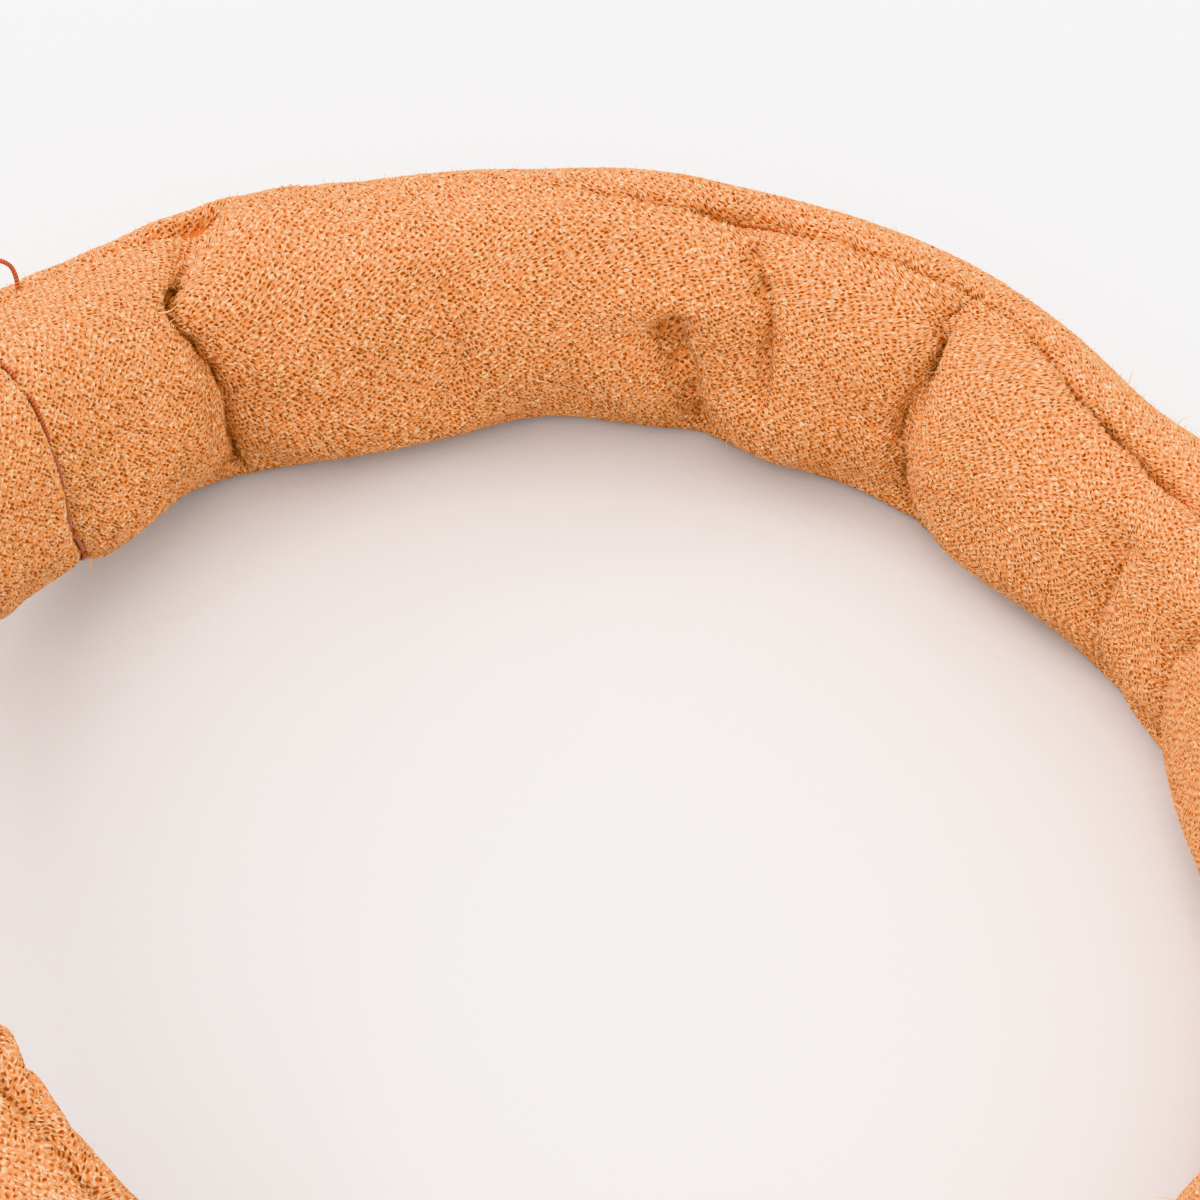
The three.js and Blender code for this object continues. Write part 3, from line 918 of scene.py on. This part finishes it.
# %% Threads of the long seam
SEAM_THREAD_RADIUS = 0.2 * MM
SEAM_RAISED, SEAM_DIP = 0.1 * MM, 0.5 * MM
SEAM_CLEAR = 6 * MM


def seam_thread_along(name, line, upward):
    """A thread at the bottom of the long seam's groove, clear of the joints."""
    walked = walked_along(line)
    kept = (walked > SEAM_CLEAR) & (walked < walked[-1] - SEAM_CLEAR)
    sunk = stitched(line[kept], upward[kept], SEAM_RAISED, SEAM_DIP)
    return thread(name, sunk[::2], SEAM_THREAD_RADIUS)


front_seam = seam_thread_along("front_seam_stitches", front_seam_line, front_seam_up)
rear_seam = seam_thread_along("rear_seam_stitches", rear_seam_line, rear_seam_up)
print("threads", [len(t.data.polygons) for t in (left_thread, right_thread, front_seam, rear_seam)])


# %% [markdown]
# ## Materials
# The covers are a dyed terry knit, and a picture of cloth could be wrapped round them, but it would blur
# close by and repeat. So the pattern is worked out in the shader, from the cloth's own UV map in metres.
# It is one node group: a lattice of gaps as fine as the skin's own relief, painted darker as shade in the
# knit's small holes, uneven yarn between them with painted highlights on short strokes, and soft patches
# where the dye took more or less. The Principled shader stays in the material, with a little sheen for
# the fuzz.

# %% Colour and node helpers
def colour(red, green, blue):
    """A shader colour from the everyday 0 to 255 numbers."""
    return tuple((c / 255 / 12.92 if c / 255 <= 0.04045 else ((c / 255 + 0.055) / 1.055) ** 2.4)
                 for c in (red, green, blue)) + (1.0,)


def add(tree, kind, settings=None, **inputs):
    """A node with its settings, and its inputs set or linked by name."""
    node = tree.nodes.new(kind)
    for key, value in (settings or {}).items():
        setattr(node, key, value)
    for key, value in inputs.items():
        socket = node.inputs[int(key[1:])] if key[0] == "_" else node.inputs[key.replace("_", " ")]
        if isinstance(value, bpy.types.NodeSocket):
            tree.links.new(value, socket)
        else:
            socket.default_value = value
    return node


def maths(tree, operation, a, b=0.0, c=0.0, clamp=False):
    settings = {"operation": operation, "use_clamp": clamp}
    return add(tree, "ShaderNodeMath", settings, _0=a, _1=b, _2=c).outputs[0]


def vector_maths(tree, operation, a, b):
    return add(tree, "ShaderNodeVectorMath", {"operation": operation}, _0=a, _1=b).outputs[0]


def flat_noise(tree, place, scale, detail, roughness=0.5, output="Fac"):
    """Noise over the cloth's own two directions."""
    return add(tree, "ShaderNodeTexNoise", {"noise_dimensions": "2D"}, Vector=place, Scale=scale,
               Detail=detail, Roughness=roughness).outputs[output]


def noise_strokes(tree, place, scale):
    """Noise drawn out into short strokes."""
    return flat_noise(tree, vector_maths(tree, "MULTIPLY", place, scale), 1.0, 2.0, 0.6)


def ramp(tree, value, low, high):
    """0 at low and 1 at high, smooth between."""
    node = add(tree, "ShaderNodeMapRange", {"interpolation_type": "SMOOTHSTEP"}, Value=value)
    node.inputs["From Min"].default_value = low
    node.inputs["From Max"].default_value = high
    return node.outputs["Result"]


def mixed(tree, factor, first, second, blend="MIX"):
    node = tree.nodes.new("ShaderNodeMix")
    node.data_type = "RGBA"
    node.blend_type = blend
    for socket, value in zip((node.inputs[0], node.inputs[6], node.inputs[7]), (factor, first, second)):
        if isinstance(value, bpy.types.NodeSocket):
            tree.links.new(value, socket)
        else:
            socket.default_value = value
    return node.outputs[2]


# %% The knit's shader group
GAP_JITTER = 0.5  # how far the gaps stand from their even places, as a share
YARN_DRIFT = 0.9
STROKE_SHORT, STROKE_LONG = 1.2, 3.4
TURNED_SHARE = 0.62  # the share of loops whose yarn runs the first way


def knit_group():
    """Inputs are the knit's place in metres and its three colours; outputs are colour and height."""
    group = bpy.data.node_groups.new("knit_terry", "ShaderNodeTree")
    sockets = group.interface
    sockets.new_socket(name="Place", in_out="INPUT", socket_type="NodeSocketVector")
    for name in ("Yarn", "Gap", "Bright"):
        sockets.new_socket(name=name, in_out="INPUT", socket_type="NodeSocketColor")
    sockets.new_socket(name="Color", in_out="OUTPUT", socket_type="NodeSocketColor")
    sockets.new_socket(name="Height", in_out="OUTPUT", socket_type="NodeSocketFloat")
    into = group.nodes.new("NodeGroupInput")
    split = add(group, "ShaderNodeSeparateXYZ", _0=into.outputs["Place"])
    along = maths(group, "MULTIPLY", split.outputs[0], 1 / KNIT_ALONG)
    across = maths(group, "MULTIPLY", split.outputs[1], 1 / KNIT_ACROSS)
    even = add(group, "ShaderNodeCombineXYZ", _0=maths(group, "ADD", along, across),
               _1=maths(group, "SUBTRACT", along, across)).outputs[0]
    drift = flat_noise(group, even, 0.8, 1.0, output="Color")
    drift = vector_maths(group, "SUBTRACT", drift, (0.5, 0.5, 0.5))
    drift = vector_maths(group, "MULTIPLY", drift, (YARN_DRIFT, YARN_DRIFT, 0))
    lattice = vector_maths(group, "ADD", even, drift)
    centred = vector_maths(group, "ADD", lattice, (GAP_JITTER / 2, GAP_JITTER / 2, 0))
    gaps = add(group, "ShaderNodeTexVoronoi", {"voronoi_dimensions": "2D"}, Vector=centred, Scale=1.0,
               Randomness=GAP_JITTER)
    gap = maths(group, "SUBTRACT", 1.0, ramp(group, gaps.outputs["Distance"], 0.08, 0.44))
    chance = add(group, "ShaderNodeSeparateXYZ", _0=gaps.outputs["Color"])
    first_way = noise_strokes(group, lattice, (STROKE_SHORT, STROKE_LONG, 1))
    other_way = noise_strokes(group, lattice, (STROKE_LONG, STROKE_SHORT, 1))
    turned = maths(group, "GREATER_THAN", chance.outputs[1], TURNED_SHARE)
    unturned = maths(group, "SUBTRACT", 1.0, turned)
    first_way = maths(group, "MULTIPLY", first_way, unturned)
    other_way = maths(group, "MULTIPLY", other_way, turned)
    strokes = maths(group, "ADD", first_way, other_way)
    fibres = flat_noise(group, lattice, 6.0, 2.0, 0.7)
    patches = flat_noise(group, lattice, 0.06, 3.0)
    yarn_share = maths(group, "SUBTRACT", 1.0, gap)
    # Painted highlights: short strokes of raised yarn are mixed toward the bright colour, as if light caught
    # them.
    bright = maths(group, "MULTIPLY", ramp(group, strokes, 0.47, 0.62), yarn_share)
    yarn = mixed(group, bright, into.outputs["Yarn"], into.outputs["Bright"])
    # The gaps are painted darker toward the gap colour, as shade in the knit's small holes; how dark varies
    # at random from gap to gap.
    darkness = maths(group, "MULTIPLY_ADD", chance.outputs[0], 0.5, 0.55)
    deep = maths(group, "MULTIPLY", gap, darkness, clamp=True)
    cloth = mixed(group, deep, yarn, into.outputs["Gap"])
    shade = maths(group, "MULTIPLY_ADD", fibres, 0.5, 0.75)
    tone = maths(group, "MULTIPLY_ADD", patches, 0.3, 0.85)
    grey = maths(group, "MULTIPLY", shade, tone)
    grey = add(group, "ShaderNodeCombineXYZ", _0=grey, _1=grey, _2=grey).outputs[0]
    final = mixed(group, 1.0, cloth, grey, "MULTIPLY")
    height = maths(group, "MULTIPLY_ADD", strokes, 1.2, maths(group, "MULTIPLY", fibres, 0.5))
    height = maths(group, "MULTIPLY_ADD", gap, -1.0, height)
    out = group.nodes.new("NodeGroupOutput")
    group.links.new(final, out.inputs["Color"])
    group.links.new(height, out.inputs["Height"])
    return group


KNIT = knit_group()


# %% Material helpers
def new_material(name, roughness, sheen=0.0, sheen_tint=(1, 1, 1, 1)):
    """An empty material with a Principled shader and its plain values."""
    material = bpy.data.materials.new(name)
    material.use_nodes = True
    shader = material.node_tree.nodes["Principled BSDF"]
    shader.inputs["Roughness"].default_value = roughness
    shader.inputs["Specular IOR Level"].default_value = 0.25
    shader.inputs["Sheen Weight"].default_value = sheen
    shader.inputs["Sheen Roughness"].default_value = 0.5
    shader.inputs["Sheen Tint"].default_value = sheen_tint
    return material, material.node_tree, shader


def bump(tree, shader, height, strength, distance):
    node = add(tree, "ShaderNodeBump", Strength=strength, Distance=distance, Height=height)
    tree.links.new(node.outputs["Normal"], shader.inputs["Normal"])


# %% Knit material
def knit_material(name, yarn, gap, bright):
    material, tree, shader = new_material(name, 0.95, sheen=0.14, sheen_tint=colour(255, 206, 150))
    shader.inputs["Specular IOR Level"].default_value = 0.08
    place = add(tree, "ShaderNodeUVMap", {"uv_map": "knit"})
    knit = tree.nodes.new("ShaderNodeGroup")
    knit.node_tree = KNIT
    tree.links.new(place.outputs["UV"], knit.inputs["Place"])
    for socket, value in (("Yarn", yarn), ("Gap", gap), ("Bright", bright)):
        knit.inputs[socket].default_value = value
    tree.links.new(knit.outputs["Color"], shader.inputs["Base Color"])
    bump(tree, shader, knit.outputs["Height"], 0.9, 0.3 * MM)
    return material


# The gap colour is painted shade in the knit's holes, and the bright colour is a painted highlight on the
# yarn's strokes.
apricot_knit = knit_material("apricot_knit", colour(248, 158, 92), colour(148, 54, 14), colour(255, 222, 180))


# %% [markdown]
# The inner and sewn parts get plain finishes of their own. Sewing thread is two plies twisted together,
# which slanted stripes along its UV map show, painted darker as shade in the grooves between the plies.
# The sponge, the elastic and the bar tacks are small and mostly hidden, so a cell pattern, a weave and
# rows of stitches from their Object coordinates are enough, each painted darker in its hollows as shade.

# %% Thread material
PLY_PITCH = 0.9 * MM


def thread_material(name, tint, deep):
    """Two-ply sewing thread: slanted stripes along its own length."""
    material, tree, shader = new_material(name, 0.6, sheen=0.2)
    place = add(tree, "ShaderNodeUVMap", {"uv_map": "knit"})
    split = add(tree, "ShaderNodeSeparateXYZ", _0=place.outputs["UV"])
    twist = maths(tree, "ADD", maths(tree, "MULTIPLY", split.outputs[0], 2 / PLY_PITCH), split.outputs[1])
    # The stripes are painted darker toward the deep colour, as shade in the grooves between the twisted
    # plies.
    wave = maths(tree, "ABSOLUTE", maths(tree, "SINE", maths(tree, "MULTIPLY", twist, math.pi)))
    tree.links.new(mixed(tree, wave, deep, tint), shader.inputs["Base Color"])
    bump(tree, shader, wave, 0.6, 0.1 * MM)
    return material


# Each thread's second colour is painted shade between its plies.
joint_thread = thread_material("orange_thread", colour(184, 96, 58), colour(112, 50, 26))
seam_thread = thread_material("apricot_thread", colour(176, 92, 46), colour(112, 50, 24))


# %% Sponge, elastic and bar tack materials
SPONGE_CELL = 0.9 * MM
ELASTIC_RIB = 1.2 * MM
ELASTIC_WEFT = 0.7 * MM
SATIN_ROW = 0.4 * MM


def sponge_material():
    """Open cells with pale walls."""
    material, tree, shader = new_material("sponge", 0.95)
    place = add(tree, "ShaderNodeTexCoord")
    cells = add(tree, "ShaderNodeTexVoronoi", {"feature": "DISTANCE_TO_EDGE"}, Vector=place.outputs["Object"],
                Scale=1 / SPONGE_CELL)
    # The cells' insides are painted darker than their pale walls, as shade in the open pores.
    wall = maths(tree, "SUBTRACT", 1.0, ramp(tree, cells.outputs["Distance"], 0.02, 0.25))
    foam = mixed(tree, wall, colour(214, 198, 160), colour(245, 236, 208))
    tree.links.new(foam, shader.inputs["Base Color"])
    bump(tree, shader, wall, 0.8, 0.3 * MM)
    return material


def elastic_material():
    """Woven elastic: ribs along the strap, crossed by fine weft."""
    material, tree, shader = new_material("woven_elastic", 0.7, sheen=0.1)
    place = add(tree, "ShaderNodeTexCoord")
    split = add(tree, "ShaderNodeSeparateXYZ", _0=place.outputs["Object"])
    ribs = maths(tree, "SINE", maths(tree, "MULTIPLY", split.outputs[2], 2 * math.pi / ELASTIC_RIB))
    weft = maths(tree, "SINE", maths(tree, "MULTIPLY", split.outputs[1], 2 * math.pi / ELASTIC_WEFT))
    crossed = maths(tree, "MULTIPLY", ribs, weft)
    # Where ribs and weft dip, the weave is painted greyer, as shade in its hollows.
    woven = maths(tree, "MULTIPLY", maths(tree, "ADD", crossed, 1.0), 0.5)
    weave = mixed(tree, woven, colour(222, 216, 205), colour(250, 247, 240))
    tree.links.new(weave, shader.inputs["Base Color"])
    bump(tree, shader, woven, 0.5, 0.2 * MM)
    return material


def tack_material():
    """A bar tack: close satin stitches across its length."""
    material, tree, shader = new_material("satin_tack", 0.55, sheen=0.2)
    place = add(tree, "ShaderNodeTexCoord")
    split = add(tree, "ShaderNodeSeparateXYZ", _0=place.outputs["Object"])
    across = maths(tree, "MULTIPLY", split.outputs[2], math.pi / SATIN_ROW)
    # Between the satin rows the thread is painted darker, as shade in the grooves between stitches.
    rows = maths(tree, "ABSOLUTE", maths(tree, "SINE", across))
    satin = mixed(tree, rows, colour(186, 104, 58), colour(240, 170, 112))
    tree.links.new(satin, shader.inputs["Base Color"])
    bump(tree, shader, rows, 0.7, 0.15 * MM)
    return material


# %% [markdown]
# ## Fuzz
# Terry knit is hairy, and against a white table the hairs are what softens its outline. Hair curves
# would render well, but they are no mesh that a library can keep, so Geometry Nodes sets small fibres
# of real mesh on the cloth, each turned and scaled a little differently.

# %% One fibre, and the nodes that set it on cloth
FIBRE_SIDES = 3
FIBRE_RADIUS = 0.045  # as a share of its length


def fibre_object(bend):
    """A thin, bent, tapering fibre, one unit long, with a single face at each end."""
    t = np.array([0, 0.5, 1.0])
    middle = np.stack([bend * t ** 2, 0 * t, t], -1)
    turn = np.arange(FIBRE_SIDES) * 2 * np.pi / FIBRE_SIDES
    ring = np.stack([np.cos(turn), np.sin(turn), 0 * turn], -1)
    radius = FIBRE_RADIUS * (1.15 - t)
    points = middle[:, None] + ring[None, ::-1] * radius[:, None, None]
    tip = (len(t) - 1) * FIBRE_SIDES
    ends = [list(range(FIBRE_SIDES))[::-1], list(range(tip, tip + FIBRE_SIDES))]
    return new_object("fibre", new_mesh("fibre", points, grid_faces(len(t), FIBRE_SIDES).tolist() + ends))


def fuzz_nodes():
    """Fibres at random places of the cloth's outside, each leaning and sized by chance."""
    tree = bpy.data.node_groups.new("cloth_fuzz", "GeometryNodeTree")
    face = tree.interface
    face.new_socket(name="Geometry", in_out="INPUT", socket_type="NodeSocketGeometry")
    for name, kind in (("Cloth", "Object"), ("Fibre", "Object"), ("Density", "Float"), ("Length", "Float"),
                       ("Seed", "Int"), ("Material", "Material")):
        face.new_socket(name=name, in_out="INPUT", socket_type="NodeSocket" + kind)
    face.new_socket(name="Geometry", in_out="OUTPUT", socket_type="NodeSocketGeometry")
    into = tree.nodes.new("NodeGroupInput").outputs
    cloth = add(tree, "GeometryNodeObjectInfo", Object=into["Cloth"])
    fibre = add(tree, "GeometryNodeObjectInfo", Object=into["Fibre"])
    outside = add(tree, "GeometryNodeInputNamedAttribute", {"data_type": "BOOLEAN"}, Name="outside")
    points = add(tree, "GeometryNodeDistributePointsOnFaces", Mesh=cloth.outputs["Geometry"],
                 Selection=outside.outputs[0], Density=into["Density"], Seed=into["Seed"])
    lean = add(tree, "FunctionNodeRandomValue", {"data_type": "FLOAT_VECTOR"}, _0=(-0.8, -0.8, -3.1),
               _1=(0.8, 0.8, 3.1), Seed=into["Seed"])
    turned = add(tree, "FunctionNodeRotateRotation", {"rotation_space": "LOCAL"},
                 Rotation=points.outputs["Rotation"],
                 Rotate_By=add(tree, "FunctionNodeEulerToRotation", Euler=lean.outputs[0]).outputs[0])
    size = add(tree, "FunctionNodeRandomValue", {"data_type": "FLOAT"}, _2=0.4, _3=1.2, Seed=into["Seed"])
    scale = maths(tree, "MULTIPLY", size.outputs[1], into["Length"])
    placed = add(tree, "GeometryNodeInstanceOnPoints", Points=points.outputs["Points"],
                 Instance=fibre.outputs["Geometry"], Rotation=turned.outputs[0], Scale=scale)
    real = add(tree, "GeometryNodeRealizeInstances", Geometry=placed.outputs[0])
    finished = add(tree, "GeometryNodeSetMaterial", Geometry=real.outputs[0], Material=into["Material"])
    tree.links.new(finished.outputs[0], tree.nodes.new("NodeGroupOutput").inputs[0])
    return tree


# %% Grow the fuzz
FUZZ_LENGTH = 0.85 * MM
STRAY_LENGTH = 2.2 * MM
FUZZ_BEND, STRAY_BEND = 0.4, 0.9
FUZZ = fuzz_nodes()
fuzz_material, _, fuzz_shader = new_material("peach_fuzz", 0.9, sheen=0.3)
fuzz_shader.inputs["Base Color"].default_value = colour(255, 206, 150)


def fuzz_on(name, cloth, bend, count, length, seed):
    """Fibres on the outside of a cover, as one mesh."""
    fibre = fibre_object(bend)
    fuzz = new_object(name, bpy.data.meshes.new(name))
    area = sum(polygon.area for polygon in cloth.data.polygons[: cloth["outside_faces"]])
    nodes = fuzz.modifiers.new("fuzz", "NODES")
    nodes.node_group = FUZZ
    values = {"Cloth": cloth, "Fibre": fibre, "Density": count / area, "Length": length, "Seed": seed,
              "Material": fuzz_material}
    for item in FUZZ.interface.items_tree:
        if item.in_out == "INPUT" and item.name in values:
            nodes[item.identifier] = values[item.name]
    graph = bpy.context.evaluated_depsgraph_get()
    fuzz.data = bpy.data.meshes.new_from_object(fuzz.evaluated_get(graph))
    fuzz.modifiers.clear()
    bpy.data.objects.remove(fibre)
    print(name, len(fuzz.data.polygons), "faces")
    return fuzz


front_fuzz = fuzz_on("front_fuzz", front, FUZZ_BEND, 10500, FUZZ_LENGTH, seed=3)
rear_fuzz = fuzz_on("rear_fuzz", rear, FUZZ_BEND, 2600, FUZZ_LENGTH, seed=4)
stray_fuzz = fuzz_on("stray_hairs", front, STRAY_BEND, 110, STRAY_LENGTH, seed=8)


# %% Give each piece its finish
def finish_with(thing, material):
    thing.data.materials.clear()
    thing.data.materials.append(material)


for cover in (front, rear):
    finish_with(cover, apricot_knit)
for tube in (left_thread, right_thread):
    finish_with(tube, joint_thread)
for tube in (front_seam, rear_seam):
    finish_with(tube, seam_thread)
finish_with(sponge, sponge_material())
satin_tack = tack_material()
for node, material in (("rear_elastic", elastic_material()), ("left_bartack", satin_tack),
                       ("right_bartack", satin_tack)):
    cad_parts[node].material_slots[0].material = material
print("finishes", sorted(material.name for material in bpy.data.materials if material.users))

# %% [markdown]
# ## Table and light
# The band lies on a plain white table. A single sun would cut hard shadows into the cloth, so most of the
# light is the bright, even room, and three soft lamps add shape: one behind the band on the left, which
# rakes over the knit, one overhead, and one in front that fills the shade inside the ring. The view
# transform keeps the apricot's own colour where it is brightly lit, which a film-like one would pale.

# %% Table
TABLE_HALF = 1.5
corners = [(x * TABLE_HALF, y * TABLE_HALF, 0) for x, y in ((-1, -1), (1, -1), (1, 1), (-1, 1))]
table_mesh = new_mesh("table", corners, [(0, 1, 2, 3)])
table = new_object("table", table_mesh)
white, white_tree, white_shader = new_material("white_table", 0.75)
white_shader.inputs["Base Color"].default_value = colour(205, 205, 206)
grain_place = add(white_tree, "ShaderNodeTexCoord")
grain = add(white_tree, "ShaderNodeTexNoise", Vector=grain_place.outputs["Object"], Scale=700.0,
            Detail=4.0)
bump(white_tree, white_shader, grain.outputs["Fac"], 0.25, 0.2 * MM)
finish_with(table, white)


# %% Light
def soft_lamp(name, direction, distance, size, power):
    """A square lamp that looks at the band from a direction."""
    data = bpy.data.lights.new(name, "AREA")
    data.size = size
    data.energy = power
    lamp = bpy.data.objects.new(name, data)
    toward = Vector(direction).normalized()
    lamp.location = aim + toward * distance
    lamp.rotation_euler = toward.to_track_quat("Z", "Y").to_euler()
    bpy.context.scene.collection.objects.link(lamp)


soft_lamp("back_left_softbox", (-0.87, 0.41, 0.8), distance=1.6, size=0.4, power=7.5)
soft_lamp("overhead_softbox", (-0.1, 0.1, 1.0), distance=1.5, size=1.2, power=6)
soft_lamp("front_fill", (-0.45, -0.65, 0.8), distance=1.8, size=1.2, power=11)

# %% The room
ROOM_LIGHT = (1.0, 0.995, 0.985, 1)
ROOM_STRENGTH = 1.62
world = bpy.data.worlds.new("room")
world.use_nodes = True
world.node_tree.nodes["Background"].inputs["Color"].default_value = ROOM_LIGHT
world.node_tree.nodes["Background"].inputs["Strength"].default_value = ROOM_STRENGTH
bpy.context.scene.world = world
bpy.context.scene.view_settings.view_transform = "Khronos PBR Neutral"

# %% [markdown]
# ## Back to the frame
# The frame's plain parts went through the checks, and the soft pieces made here take their places. They
# could be parented by hand, but instead every piece rides on the frame's only body, and each cover, sponge
# and thread replaces its plain part, which is hidden.

# %% Tie every piece to the frame
for piece in (front, rear, sponge, left_thread, right_thread, front_seam, rear_seam, front_fuzz, rear_fuzz,
              stray_fuzz):
    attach(piece, "root")
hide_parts("front_cover")
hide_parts("rear_sleeve")
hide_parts("foam_core")
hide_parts("left_joint_thread")
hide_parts("right_joint_thread")
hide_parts("front_seam_thread")
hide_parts("rear_seam_thread")
